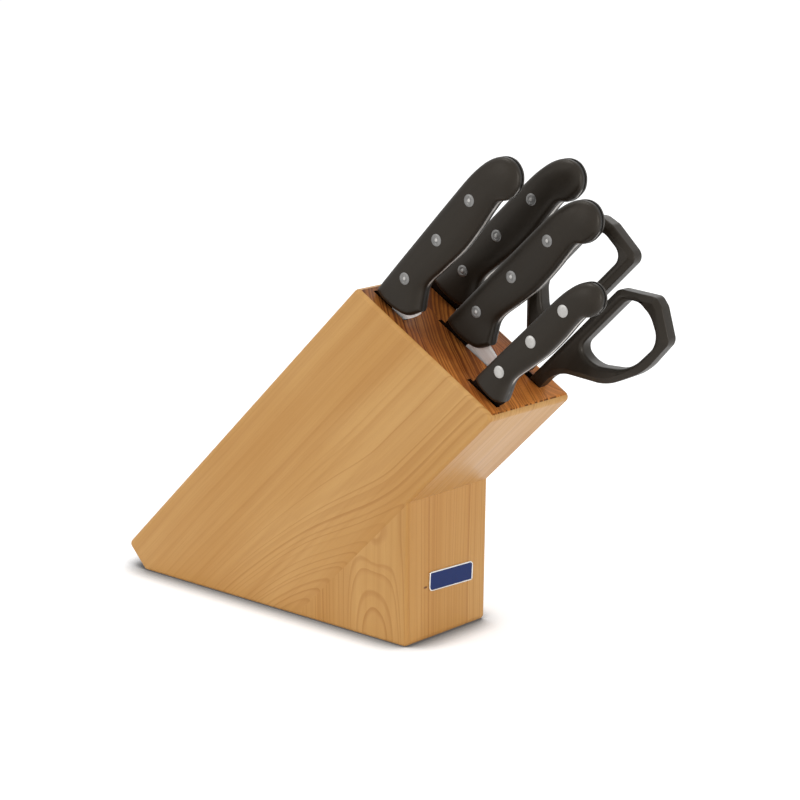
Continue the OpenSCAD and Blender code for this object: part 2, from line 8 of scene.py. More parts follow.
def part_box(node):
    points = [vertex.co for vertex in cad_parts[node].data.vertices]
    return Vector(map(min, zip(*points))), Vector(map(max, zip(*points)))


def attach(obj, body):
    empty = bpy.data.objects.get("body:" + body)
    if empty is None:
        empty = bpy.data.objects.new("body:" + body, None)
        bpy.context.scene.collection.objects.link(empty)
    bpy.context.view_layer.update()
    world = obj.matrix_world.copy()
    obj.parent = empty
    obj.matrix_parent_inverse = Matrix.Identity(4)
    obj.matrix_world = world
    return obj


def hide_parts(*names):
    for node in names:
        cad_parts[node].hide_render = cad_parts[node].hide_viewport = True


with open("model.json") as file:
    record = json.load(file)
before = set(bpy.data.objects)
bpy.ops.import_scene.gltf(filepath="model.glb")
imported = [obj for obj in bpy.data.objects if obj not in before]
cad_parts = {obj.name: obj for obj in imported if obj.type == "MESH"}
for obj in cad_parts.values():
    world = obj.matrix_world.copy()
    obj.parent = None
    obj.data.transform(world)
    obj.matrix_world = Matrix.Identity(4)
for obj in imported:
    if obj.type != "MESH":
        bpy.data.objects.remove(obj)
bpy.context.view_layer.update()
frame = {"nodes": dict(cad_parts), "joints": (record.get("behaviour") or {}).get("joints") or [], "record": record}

# A slanted knife block with four riveted knives and a pair of kitchen scissors.
# Lengths in the dictionaries are millimetres and angles degrees. Only the room, and where the
# camera stands in it, is in metres.

scene = bpy.context.scene
scene.view_settings.view_transform = "Standard"
joints = {joint["name"]: joint for joint in frame["joints"]}
mm = 0.001


def frameAt(axes, spot, scale=1):
    # a frame at a spot, from its three unit axes
    place = Matrix(axes).transposed().to_4x4()
    place.translation = spot
    return place @ Matrix.Scale(scale, 4)


def slideAxes(joint):
    # out along a slide, across the block to its far side, and square to both
    out = Vector(joints[joint]["axis"]).normalized()
    across = Vector((0, 1, 0))
    return out, across, out.cross(across)


camera = {
    "target": (0.09324, -0.033, 0.13405), "distance": 1.2951,
    "azimuth": 40.571, "elevation": 13.759, "roll": 0.789,
    "lens": 112.5, "sensor": 36,
}


def placeCamera(c):
    az, el, roll = (math.radians(c[k]) for k in ("azimuth", "elevation", "roll"))
    back = Vector((math.sin(az) * math.cos(el), -math.cos(az) * math.cos(el), math.sin(el)))
    level = Vector((math.cos(az), math.sin(az), 0))
    rise = back.cross(level)
    right = math.cos(roll) * level + math.sin(roll) * rise
    up = math.cos(roll) * rise - math.sin(roll) * level
    data = bpy.data.cameras.new("camera")
    data.lens = c["lens"]
    data.sensor_width = c["sensor"]
    obj = bpy.data.objects.new("camera", data)
    scene.collection.objects.link(obj)
    obj.matrix_world = frameAt((right, up, back), Vector(c["target"]) + back * c["distance"])
    scene.camera = obj


placeCamera(camera)


def newTree(owner):
    owner.use_nodes = True
    tree = owner.node_tree
    tree.nodes.clear()
    return tree


def addNode(tree, kind, **settings):
    node = tree.nodes.new(kind)
    for key, value in settings.items():
        setattr(node, key, value)
    return node


def plug(tree, value, socket):
    # what comes from a node is linked, and a plain value is set
    if isinstance(value, bpy.types.NodeSocket):
        tree.links.new(value, socket)
    else:
        socket.default_value = value


def maths(tree, operation, a, b=None, clamp=False):
    node = addNode(tree, "ShaderNodeMath", operation=operation, use_clamp=clamp)
    for value, socket in zip((a, b), node.inputs):
        if value is not None:
            plug(tree, value, socket)
    return node.outputs[0]


def ramp(tree, value, low, high, toLow=0.0, toHigh=1.0, smooth=True):
    node = addNode(tree, "ShaderNodeMapRange", clamp=True)
    node.interpolation_type = "SMOOTHSTEP" if smooth else "LINEAR"
    for key, number in (("From Min", low), ("From Max", high), ("To Min", toLow), ("To Max", toHigh)):
        node.inputs[key].default_value = number
    tree.links.new(value, node.inputs["Value"])
    return node.outputs["Result"]


def hump(tree, value, rise, fall):
    # up to 1 over the first span and back to 0 over the second
    return maths(tree, "MULTIPLY", ramp(tree, value, *rise), ramp(tree, value, *fall, 1, 0))


def blendColour(tree, factor, a, b, kind="MIX"):
    node = addNode(tree, "ShaderNodeMix", data_type="RGBA", blend_type=kind)
    plug(tree, factor, node.inputs[0])
    for value, socket in ((a, node.inputs[6]), (b, node.inputs[7])):
        plug(tree, (*value, 1) if isinstance(value, tuple) else value, socket)
    return node.outputs[2]


def splitXyz(tree, vector):
    node = addNode(tree, "ShaderNodeSeparateXYZ")
    tree.links.new(vector, node.inputs[0])
    return node.outputs


def noise(tree, vector, waves, detail=2.0, rough=0.5, output=0):
    # waves to the metre, along each axis or the same along all
    mapping = addNode(tree, "ShaderNodeMapping")
    mapping.inputs["Scale"].default_value = waves if isinstance(waves, tuple) else (waves, waves, waves)
    tree.links.new(vector, mapping.inputs["Vector"])
    node = addNode(tree, "ShaderNodeTexNoise")
    for key, number in (("Scale", 1.0), ("Detail", detail), ("Roughness", rough)):
        node.inputs[key].default_value = number
    tree.links.new(mapping.outputs[0], node.inputs["Vector"])
    return node.outputs[output]


def grainCoords(tree, turn):
    # the piece's own coordinates, and the same turned so that X runs along its grain
    coords = addNode(tree, "ShaderNodeTexCoord")
    mapping = addNode(tree, "ShaderNodeMapping")
    mapping.inputs["Rotation"].default_value = [math.radians(a) for a in turn]
    tree.links.new(coords.outputs["Object"], mapping.inputs["Vector"])
    return coords, mapping.outputs[0]


def facingAlong(tree, coords, turn):
    # how squarely the surface faces along the grain
    facing = addNode(tree, "ShaderNodeMapping", vector_type="NORMAL")
    facing.inputs["Rotation"].default_value = [math.radians(a) for a in turn]
    tree.links.new(coords.outputs["Normal"], facing.inputs["Vector"])
    return splitXyz(tree, facing.outputs[0])[0]


def relief(tree, height, look):
    bump = addNode(tree, "ShaderNodeBump")
    bump.inputs["Strength"].default_value = look["bump"]
    bump.inputs["Distance"].default_value = look["bumpDepth"] * mm
    tree.links.new(height, bump.inputs["Height"])
    return bump.outputs[0]


def strayed(look):
    # the least and the greatest roughness of a finish
    return [look["rough"] + stray for stray in look["stray"]]


def startFinish(name):
    material = bpy.data.materials.new(name)
    tree = newTree(material)
    shader = addNode(tree, "ShaderNodeBsdfPrincipled")
    out = addNode(tree, "ShaderNodeOutputMaterial")
    tree.links.new(shader.outputs[0], out.inputs["Surface"])
    return material, tree, shader


def setFinish(tree, shader, looks):
    for name, value in looks.items():
        plug(tree, value, shader.inputs[name])


def linear(*colour):
    # a screen colour of 0 to 255 as the light it stands for
    shares = [v / 255 for v in colour]
    return tuple(v / 12.92 if v < 0.04045 else ((v + 0.055) / 1.055) ** 2.4 for v in shares)


noiseSpan = (0.3, 0.7)      # noise seldom strays further

room = {
    "level": 0.62,          # of the room's light on the object
    "white": 1.0,           # what the camera, gloss and glass see of it
    "floorRadius": 6, "floorColour": (0.86, 0.86, 0.86), "floorLift": 0.5,
    # the shade where something stands: its reach, the light left in it, and how open a spot is
    # where the shade is full and where it ends
    "contact": 0.022, "contactLeft": 0.14, "contactOpen": (0.5, 0.94),
    "lamps": [              # name, place, aim, size and power of each
        ("keyLamp", (-0.9, -1.9, 0.6), (0.03, 0, 0.12), 1.1, 7.3),
        ("topLamp", (-0.4, -0.5, 1.9), (0.10, 0, 0.15), 0.7, 8.5),
        ("sideLamp", (1.9, -0.35, 0.42), (0.06, 0, 0.06), 0.9, 10.6),
        ("backLamp", (-0.6, 1.6, 1.6), (0.03, 0, 0.15), 1.2, 5.0),
    ],
}


def seenDirectly(tree):
    # 1 for the camera, gloss and glass, and 0 for the light that falls on things
    path = addNode(tree, "ShaderNodeLightPath").outputs
    cameraOrGloss = maths(tree, "ADD", path["Is Camera Ray"], path["Is Glossy Ray"])
    return maths(tree, "ADD", cameraOrGloss, path["Is Transmission Ray"], clamp=True)


def lightRoom(r):
    world = bpy.data.worlds.new("room")
    scene.world = world
    tree = newTree(world)
    shade = addNode(tree, "ShaderNodeBackground")
    shade.inputs["Color"].default_value = (1, 1, 1, 1)
    level = ramp(tree, seenDirectly(tree), 0, 1, r["level"], r["white"], smooth=False)
    tree.links.new(level, shade.inputs["Strength"])
    out = addNode(tree, "ShaderNodeOutputWorld")
    tree.links.new(shade.outputs[0], out.inputs["Surface"])
    for name, place, aim, size, power in r["lamps"]:
        lamp = bpy.data.lights.new(name, "AREA")
        lamp.shape = "DISK"
        lamp.size = size
        lamp.energy = power
        obj = bpy.data.objects.new(name, lamp)
        scene.collection.objects.link(obj)
        obj.location = place
        obj.rotation_euler = (Vector(aim) - Vector(place)).to_track_quat("-Z", "Y").to_euler()


def layFloor(r):
    bm = bmesh.new()
    bmesh.ops.create_circle(bm, cap_ends=True, segments=96, radius=r["floorRadius"])
    mesh = bpy.data.meshes.new("floor")
    bm.to_mesh(mesh)
    bm.free()
    floor = bpy.data.objects.new("floor", mesh)
    scene.collection.objects.link(floor)
    material = bpy.data.materials.new("whiteFloor")
    tree = newTree(material)
    near = addNode(tree, "ShaderNodeAmbientOcclusion", samples=12)
    near.inputs["Distance"].default_value = r["contact"]
    closed = ramp(tree, near.outputs["AO"], *r["contactOpen"], 1 - r["contactLeft"], 0.0, smooth=False)
    seen = seenDirectly(tree)
    clear = maths(tree, "SUBTRACT", 1.0, maths(tree, "MULTIPLY", closed, seen))
    matt = addNode(tree, "ShaderNodeBsdfDiffuse")
    tree.links.new(blendColour(tree, clear, (0, 0, 0), r["floorColour"]), matt.inputs["Color"])
    lift = addNode(tree, "ShaderNodeEmission")
    level = maths(tree, "MULTIPLY", seen, maths(tree, "MULTIPLY", clear, r["floorLift"]))
    tree.links.new(level, lift.inputs["Strength"])
    both = addNode(tree, "ShaderNodeAddShader")
    tree.links.new(matt.outputs[0], both.inputs[0])
    tree.links.new(lift.outputs[0], both.inputs[1])
    out = addNode(tree, "ShaderNodeOutputMaterial")
    tree.links.new(both.outputs[0], out.inputs["Surface"])
    mesh.materials.append(material)


lightRoom(room)
layFloor(room)
print("camera, lamps and floor are set")

wood = {
    "light": linear(207, 160, 96), "body": linear(195, 144, 77), "late": linear(166, 109, 48),
    "endLight": linear(188, 118, 54), "endBody": linear(158, 90, 37), "endLate": linear(84, 35, 10),
    # the slot colour is painted shade for the walls and lips of the slots, and also the colour of the torn pores
    # low in the end grain
    "slot": linear(34, 18, 9), "slotPaler": 1.8, "slotRough": (0.75, 0.9), "slotSpecular": 0.1,
    "ring": 2.7, "uneven": (0.45, 2.4),        # a ring's width, and how often and by how many it strays
    # where a ring's dark line rises and falls, as shares of the ring, in the face and the end
    "faceRing": ((0.58, 0.93), (0.94, 1.0)), "endRing": ((0.12, 0.5), (0.72, 1.0)),
    "yearStrength": (0.15, 1.0), "endStrength": (0.5, 0.85), "early": 0.14, "lateDepth": 0.50,
    "slow": ((5, 9, 9), 5.0), "fine": ((9, 70, 70), 0.7),   # bends of the grain: waves, reach
    # waves to the metre along the grain and across it
    "patch": (6, 26, 26), "streak": (5, 230, 230), "pore": (70, 2200, 2200), "saw": (40, 300, 900),
    "endPatch": (30, 45, 45), "endPore": (40, 1500, 1500), "tear": (1, 700, 90),
    # from where to where in its noise each one shows, and how much
    "streakShows": (0.35, 0.75, 0.0, 0.26), "poreShows": (0.58, 0.78, 0.0, 0.18),
    "endPoreShows": (0.50, 0.75, 0.0, 0.40), "tearShows": (0.44, 0.54),
    # a row of open pores just inside the lower edge of the end grain: its height, core, reach, depth
    "poreRow": (-11.9, 0.2, 1.0, 0.8),
    # the shade by height on the end grain is partly the wood's own tone and partly painted shade
    "endFades": (-10, 40, 0.55, 1.0), "endToneAndPaintedShade": (-25, 90),    # ring lines and shade by height
    "endLean": 15, "crossing": (0.925, 0.955),  # lean of the slotted end, and what counts as end grain
    "rough": 0.37, "stray": (-0.04, 0.06), "endRougher": 0.12, "specular": 0.30, "endSpecular": 0.12,
    "bump": 0.05, "bumpDepth": 0.4, "poreBump": 0.6, "lateBump": -0.4,
}

slideOut = slideAxes("scissors_draw")[0]
slant = math.degrees(math.atan2(slideOut.z, slideOut.x))
upTheSlant = (0, slant, 0)
# each board's place in its tree: pith and lean of the trunk across the grain, how far the rings
# shift along the board (amount, from, to, reach), where they fade (from, to, least), and how
# strong they are in the end grain, with its tone low down and high up across the board, which is
# partly the wood's own and partly painted shade; the near cheek's end grain runs on from the core's
boards = {
    "near_cheek": {"turn": upTheSlant, "pith": (-38, -14), "lean": (0, 0), "fan": (30, -25, 135, 75),
                   "fade": (12, 80, 0.38), "end": (1.0, 1.4, 0.68), "endLike": "near_core"},
    "near_core": {"turn": upTheSlant, "pith": (175, -75), "lean": (0, 0.03), "fan": (0, 0, 1, 1),
                  "fade": (0, 1, 1), "end": (1.0, 1.4, 0.68), "ring": 2.3},
    "far_core": {"turn": upTheSlant, "pith": (150, -70), "lean": (0, 0.03), "fan": (0, 0, 1, 1),
                 "fade": (0, 1, 1), "end": (0.9, 1.45, 0.68)},
    "far_cheek": {"turn": upTheSlant, "pith": (46, 22), "lean": (0, 0.05), "fan": (26, -60, 190, 60),
                  "fade": (5, 60, 0.5), "end": (0.8, 1.45, 0.68)},
    "leg": {"turn": (0, 90, 0), "pith": (-46, -77), "lean": (0, 0.02), "fan": (13, 0, 62, 26),
            "fade": (10, 70, 1.4), "end": (0.8, 1, 1),
            # a small dark mark just beside the badge
            "darkMark": {"at": (30.1, -18), "wide": (0.6, 1.5), "fades": (0.3, 1.6), "dark": 0.85}},
}


def ringLines(tree, w, board, grain):
    # growth rings round the pith: the dark lines in the face and in the end, how strong each
    # year is, the tint between the lines, and how bold they all are
    along, *across = splitXyz(tree, grain)
    bends = []
    for waves, reach in (w["slow"], w["fine"]):
        wander = splitXyz(tree, noise(tree, grain, waves, rough=0.45, output="Color"))
        bends.append([maths(tree, "MULTIPLY", maths(tree, "SUBTRACT", wander[i], 0.5), 2 * reach * mm)
                      for i in (1, 2)])
    away = []
    for i in (0, 1):
        place = maths(tree, "SUBTRACT", across[i], board["pith"][i] * mm)
        place = maths(tree, "SUBTRACT", place, maths(tree, "MULTIPLY", along, board["lean"][i]))
        for bend in bends:
            place = maths(tree, "ADD", place, bend[i])
        away.append(place)
    join = addNode(tree, "ShaderNodeCombineXYZ")
    tree.links.new(away[0], join.inputs[1])
    tree.links.new(away[1], join.inputs[2])
    length = addNode(tree, "ShaderNodeVectorMath", operation="LENGTH")
    tree.links.new(join.outputs[0], length.inputs[0])
    radius = length.outputs["Value"]
    amount, start, end, reach = board["fan"]
    shift = maths(tree, "MULTIPLY", ramp(tree, along, start * mm, end * mm, 0, amount * mm),
                  ramp(tree, maths(tree, "ABSOLUTE", away[1]), 0, reach * mm, 1, 0))
    rings = maths(tree, "DIVIDE", maths(tree, "ADD", radius, shift), board.get("ring", w["ring"]) * mm)
    uneven = addNode(tree, "ShaderNodeTexNoise", noise_dimensions="1D")
    uneven.inputs["Scale"].default_value = w["uneven"][0]
    tree.links.new(rings, uneven.inputs["W"])
    rings = maths(tree, "ADD", rings, maths(tree, "MULTIPLY", uneven.outputs[0], w["uneven"][1]))
    year = maths(tree, "FRACT", rings)
    chance = addNode(tree, "ShaderNodeTexWhiteNoise", noise_dimensions="1D")
    tree.links.new(maths(tree, "FLOOR", rings), chance.inputs["W"])
    low, high, least = board["fade"]
    return {
        "face": hump(tree, year, *w["faceRing"]), "end": hump(tree, year, *w["endRing"]),
        "strong": ramp(tree, chance.outputs["Value"], 0, 1, *w["yearStrength"], smooth=False),
        "early": maths(tree, "MULTIPLY", year, w["early"]),
        "bold": ramp(tree, radius, low * mm, high * mm, 1, least),
    }


def faceGrain(tree, w, grain, rings, streak, pore):
    dark = maths(tree, "ADD", maths(tree, "MULTIPLY", rings["face"], rings["strong"]), rings["early"])
    dark = maths(tree, "MULTIPLY", maths(tree, "MULTIPLY", dark, rings["bold"]), w["lateDepth"], clamp=True)
    patch = ramp(tree, noise(tree, grain, w["patch"]), *noiseSpan)
    colour = blendColour(tree, patch, w["body"], w["light"])
    for share in (dark, ramp(tree, streak, *w["streakShows"]), ramp(tree, pore, *w["poreShows"])):
        colour = blendColour(tree, share, colour, w["late"])
    return colour


# a small dark spot in the colour, round a point of the grain
def addDarkMark(tree, w, darkMark, grain, colour):
    spot = []
    for value, middle, wide in zip(splitXyz(tree, grain), darkMark["at"], darkMark["wide"]):
        off = maths(tree, "DIVIDE", maths(tree, "SUBTRACT", value, middle * mm), wide * mm)
        spot.append(maths(tree, "MULTIPLY", off, off))
    dark = ramp(tree, maths(tree, "ADD", *spot), *darkMark["fades"], darkMark["dark"], 0)
    return blendColour(tree, dark, colour, w["endLate"])


def endGrain(tree, w, board, grain, rings):
    # end grain drinks the oil, so it is darker than the face
    height = splitXyz(tree, grain)[2]
    strength, lowToneAndShade, highToneAndShade = board["end"]
    patch = ramp(tree, noise(tree, grain, w["endPatch"]), *noiseSpan)
    colour = blendColour(tree, patch, w["endBody"], w["endLight"])
    low, high, least, most = w["endFades"]
    dark = maths(tree, "MULTIPLY", rings["end"], ramp(tree, rings["strong"], 0, 1, *w["endStrength"]))
    dark = maths(tree, "MULTIPLY", dark, ramp(tree, height, low * mm, high * mm, least, most))
    colour = blendColour(tree, maths(tree, "MULTIPLY", dark, strength, clamp=True), colour, w["endLate"])
    # the end grain is paler low down and darker high up: partly its own tone, partly painted shade under the
    # handles
    low, high = w["endToneAndPaintedShade"]
    shade = ramp(tree, height, low * mm, high * mm, lowToneAndShade, highToneAndShade)
    colour = blendColour(tree, 1.0, colour, shade, "MULTIPLY")
    middle, core, reach, depth = w["poreRow"]
    offRow = maths(tree, "ABSOLUTE", maths(tree, "SUBTRACT", height, middle * mm))
    tear = ramp(tree, noise(tree, grain, w["tear"], detail=1), *w["tearShows"])
    torn = maths(tree, "MULTIPLY", ramp(tree, offRow, core * mm, reach * mm, depth, 0), tear)
    colour = blendColour(tree, torn, colour, w["slot"])
    pore = ramp(tree, noise(tree, grain, w["endPore"], rough=0.7), *w["endPoreShows"])
    return blendColour(tree, pore, colour, w["endLate"])


def makeWood(name, w, board):
    material, tree, shader = startFinish(name)
    coords, grain = grainCoords(tree, board["turn"])
    rings = ringLines(tree, w, board, grain)
    endRings = ringLines(tree, w, boards[board["endLike"]], grain) if "endLike" in board else rings
    streak = noise(tree, grain, w["streak"], detail=3, rough=0.6)
    pore = noise(tree, grain, w["pore"], rough=0.6)
    face = faceGrain(tree, w, grain, rings, streak, pore)
    if "darkMark" in board:
        face = addDarkMark(tree, w, board["darkMark"], grain, face)
    end = endGrain(tree, w, board, grain, endRings)
    along = maths(tree, "ABSOLUTE", facingAlong(tree, coords, board["turn"]))
    crossing = ramp(tree, along, *w["crossing"])     # 1 where the surface crosses the grain
    gloss = ramp(tree, streak, *noiseSpan, *strayed(w))
    height = maths(tree, "ADD", maths(tree, "MULTIPLY", pore, w["poreBump"]),
                   maths(tree, "MULTIPLY", rings["face"], w["lateBump"]))
    setFinish(tree, shader, {
        "Base Color": blendColour(tree, crossing, face, end),
        "Roughness": maths(tree, "ADD", gloss, maths(tree, "MULTIPLY", crossing, w["endRougher"])),
        "Specular IOR Level": ramp(tree, crossing, 0, 1, w["specular"], w["endSpecular"]),
        "Normal": relief(tree, height, w),
    })
    return material


def paler(colour, times):
    return tuple(v * times for v in colour)


def makePaintedSlotShade(name, w):
    # painted shade: the walls and lips of a slot are near black, as hardly any light gets in, with paler saw marks
    material, tree, shader = startFinish(name)
    grain = grainCoords(tree, upTheSlant)[1]
    saw = noise(tree, grain, w["saw"], detail=3, rough=0.6)
    patch = ramp(tree, saw, *noiseSpan)
    setFinish(tree, shader, {
        "Base Color": blendColour(tree, patch, w["slot"], paler(w["slot"], w["slotPaler"])),
        "Roughness": ramp(tree, saw, *noiseSpan, *w["slotRough"]),
        "Specular IOR Level": w["slotSpecular"],
    })
    return material


grip = {
    "dark": linear(27, 22, 16), "pale": linear(36, 30, 23), "tint": (1.0, 0.93, 0.84, 1),
    "cloud": (60, 160, 160), "grit": 2600, "wipe": (30, 500, 500),      # waves to the metre
    "rough": 0.40, "stray": (-0.04, 0.04), "wiped": (0.4, 0.7, 0, 0.05), "bump": 0.12, "bumpDepth": 0.1,
    "specular": 0.22, "buttGloss": 0.36, "buttFaces": (0.03, 0.5),      # the palm rubs the butt
}


def makeGrip(name, g):
    material, tree, shader = startFinish(name)
    coords, grain = grainCoords(tree, upTheSlant)
    cloud = noise(tree, grain, g["cloud"], detail=3, rough=0.6)
    wipe = ramp(tree, noise(tree, grain, g["wipe"]), *g["wiped"])
    outward = facingAlong(tree, coords, upTheSlant)
    setFinish(tree, shader, {
        "Base Color": blendColour(tree, cloud, g["dark"], g["pale"]),
        "Roughness": maths(tree, "ADD", ramp(tree, cloud, *noiseSpan, *strayed(g)), wipe),
        "Specular IOR Level": ramp(tree, outward, *g["buttFaces"], g["specular"], g["buttGloss"]),
        "Specular Tint": g["tint"],
        "Normal": relief(tree, noise(tree, grain, g["grit"], rough=0.6), g),
    })
    return material


steel = {
    "pale": (0.80, 0.79, 0.77), "dark": (0.66, 0.65, 0.63), "metal": 1.0, "turn": upTheSlant,
    "brushed": (300, 300, 300), "cloud": 30, "clouded": (0, 0.05),      # waves to the metre, roughness
    "rough": 0.24, "stray": (-0.04, 0.07), "bump": 0.05, "bumpDepth": 0.05,
    "buttFaces": (0.08, 0.4), "mouthFades": ((-4, -1), (6, 14)),        # where "butt" and "mouth" show
}
# what each finish changes: "butt" is a painted dark reflection where it faces out, "mouth" a painted shade where
# it leaves the block
steels = {
    "bladeSteel": {"pale": (0.52, 0.51, 0.50), "dark": (0.40, 0.40, 0.39), "brushed": (12, 900, 900),
                   "mouth": (0.03, 0.028, 0.026)},
    "groundSteel": {"pale": (0.9, 0.89, 0.87), "dark": (0.8, 0.79, 0.77), "brushed": (900, 900, 12),
                    "rough": 0.46, "metal": 0.35},
    "tangSteel": {"pale": (0.62, 0.59, 0.56), "dark": (0.46, 0.44, 0.41), "rough": 0.48, "metal": 0.6,
                  "butt": (0.05, 0.048, 0.045)},
    "ringSteel": {"pale": (0.21, 0.205, 0.20), "dark": (0.15, 0.148, 0.143), "rough": 0.38},
    "rivetSteel": {"pale": (0.42, 0.41, 0.39), "dark": (0.33, 0.32, 0.305), "rough": 0.34},
    "plateRim": {"rough": 0.2, "turn": (0, 0, 0)},
}
endTilt = math.radians(slant + wood["endLean"])
endNormal = Vector((math.cos(endTilt), 0, math.sin(endTilt)))
endLevel = max(v.co.dot(endNormal) for v in frame["nodes"]["near_core"].data.vertices)


def makeSteel(name, s):
    material, tree, shader = startFinish(name)
    coords, grain = grainCoords(tree, s["turn"])
    lines = noise(tree, grain, s["brushed"], detail=3, rough=0.65)
    cloud = ramp(tree, noise(tree, grain, s["cloud"]), *noiseSpan, *s["clouded"])
    colour = blendColour(tree, ramp(tree, lines, *noiseSpan), s["dark"], s["pale"])
    # painted dark reflection: the tang darkens where it faces out along the grip, round the butt
    if "butt" in s:
        outward = ramp(tree, facingAlong(tree, coords, s["turn"]), *s["buttFaces"])
        colour = blendColour(tree, outward, colour, s["butt"])
    # painted shade: the blade darkens in a band just above the block's slotted end
    if "mouth" in s:
        rise = addNode(tree, "ShaderNodeVectorMath", operation="DOT_PRODUCT")
        tree.links.new(coords.outputs["Object"], rise.inputs[0])
        rise.inputs[1].default_value = endNormal
        above = maths(tree, "SUBTRACT", rise.outputs["Value"], endLevel)
        up, down = ([edge * mm for edge in span] for span in s["mouthFades"])
        colour = blendColour(tree, hump(tree, above, up, down), colour, s["mouth"])
    setFinish(tree, shader, {
        "Base Color": colour,
        "Metallic": s["metal"],
        "Roughness": maths(tree, "ADD", ramp(tree, lines, *noiseSpan, *strayed(s)), cloud),
        "Normal": relief(tree, lines, s),
    })
    return material


plate = {"field": linear(20, 40, 92), "paler": 1.25, "cloud": 400, "rough": 0.3, "stray": (0, 0.1),
         "specular": 0.15}


def makePlateField(name, p):
    material, tree, shader = startFinish(name)
    cloud = noise(tree, grainCoords(tree, (0, 0, 0))[1], p["cloud"])
    setFinish(tree, shader, {
        "Base Color": blendColour(tree, cloud, p["field"], paler(p["field"], p["paler"])),
        "Roughness": ramp(tree, cloud, *noiseSpan, *strayed(p)),
        "Specular IOR Level": p["specular"],
    })
    return material


woods = {node: makeWood(node.replace("_", "-") + "-wood", wood, board) for node, board in boards.items()}
paintedSlotShade = makePaintedSlotShade("paintedSlotShade", wood)
gripPlastic = makeGrip("gripPlastic", grip)
bowPlastic = makeGrip("bowPlastic", {**grip, "rough": 0.36, "specular": 0.28})
metal = {name: makeSteel(name, {**steel, **change}) for name, change in steels.items()}
plateBlue = makePlateField("plateBlue", plate)
print("finishes are mixed")


def finishPiece(bm, name, materials, smoothBelow, weighted=False):
    mesh = bpy.data.meshes.new(name)
    bm.to_mesh(mesh)
    bm.free()
    obj = bpy.data.objects.new(name, mesh)
    scene.collection.objects.link(obj)
    for material in materials:
        mesh.materials.append(material)
    mesh.shade_smooth()
    mesh.set_sharp_from_angle(angle=math.radians(smoothBelow))
    if weighted:
        even = obj.modifiers.new("evenNormals", "WEIGHTED_NORMAL")
        even.keep_sharp = True
        even.weight = 80
    return obj


copied = {"weld": 0.002, "flat": 0.4, "smoothBelow": 32}    # how a node's own mesh is cleaned and shaded


def softCopy(node, name, material, edge, sharpAbove, segments, pick=None):
    # a node's own shape with its picked sharp edges softened
    bm = bmesh.new()
    bm.from_mesh(frame["nodes"][node].data)
    bmesh.ops.remove_doubles(bm, verts=bm.verts[:], dist=copied["weld"] * mm)
    flat = math.radians(copied["flat"])
    bmesh.ops.dissolve_limit(bm, angle_limit=flat, verts=bm.verts[:], edges=bm.edges[:])
    chosen = [e for e in bm.edges if len(e.link_faces) == 2
              and e.calc_face_angle(0) > math.radians(sharpAbove) and (pick is None or pick(e))]
    if edge > 0 and chosen:
        bmesh.ops.bevel(bm, geom=chosen, offset=edge * mm, offset_type="OFFSET", segments=segments,
                        profile=0.5, affect="EDGES", clamp_overlap=True, material=-1)
    return finishPiece(bm, name, [material], copied["smoothBelow"], weighted=True)


def vertsIn(geom):
    return [g for g in geom if isinstance(g, bmesh.types.BMVert)]


def stepIn(bm, face, wide, rise):
    # a ring is left round the face, which moves out by its rise
    bmesh.ops.inset_region(bm, faces=[face], thickness=wide, depth=rise, use_boundary=True,
                           use_even_offset=True)


def catmull(points, share):
    # a smooth curve through the points, which lie at equal steps of the share
    n = len(points) - 1
    i = min(int(share * n), n - 1)
    t = share * n - i
    b, c = Vector(points[i]), Vector(points[i + 1])
    a = Vector(points[i - 1]) if i > 0 else 2 * b - c
    d = Vector(points[i + 2]) if i < n - 1 else 2 * c - b
    return 0.5 * (2 * b + (c - a) * t + (2 * a - 5 * b + 4 * c - d) * t ** 2
                  + (3 * b - a - 3 * c + d) * t ** 3)


block = {
    "mouthSoft": 1.1, "edgeBand": 3,           # chamfer of a slot's lip, and the plain wood outside the slots
    "onJoint": 0.02,                           # a face this near a glued joint lies on it
    "squarely": 0.9, "partly": 0.3,            # how much of a face's normal looks along an axis
}


def buildBlock(b):
    # the routed lip of each slot is chamfered, and slot walls and lips get painted shade
    out, _, up = slideAxes("scissors_draw")
    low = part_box("near_cheek")[0].y + b["edgeBand"] * mm
    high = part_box("far_cheek")[1].y - b["edgeBand"] * mm
    glued = {round(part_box(n)[i].y, 5) for n in boards if n != "leg" for i in (0, 1)}
    levels = [v.co.dot(up) for v in frame["nodes"]["near_core"].data.vertices]
    lowest, highest = min(levels) + mm, max(levels) - mm

    def onEnd(face):
        return face.normal.dot(out) > b["squarely"]

    def inSlot(face):
        place = face.calc_center_median().y
        return low < place < high and abs(face.normal.y) > b["squarely"] \
            and all(abs(place - y) > b["onJoint"] * mm for y in glued)

    def atMouth(edge):
        one, other = edge.link_faces
        return (onEnd(one) and inSlot(other)) or (onEnd(other) and inSlot(one))

    def isWall(face):
        # the walls and ends of a slot, and the glued faces that close it
        side = abs(face.normal.y) > b["partly"]
        end = abs(face.normal.dot(up)) > b["squarely"] and lowest < face.center.dot(up) < highest
        return low < face.center.y < high and (side or end)

    for node, material in woods.items():
        slotted = node != "leg"
        mouth = b["mouthSoft"] if slotted else 0
        piece = softCopy(node, node.replace("_", "-") + "-wood", material, mouth, sharpAbove=60, segments=1,
                         pick=atMouth)
        if slotted:
            # the slot walls and lips get painted shade
            piece.data.materials.append(paintedSlotShade)
            for face in piece.data.polygons:
                face.material_index = 1 if isWall(face) else 0
        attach(piece, "block")
        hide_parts(node)


buildBlock(block)
print("block is built")


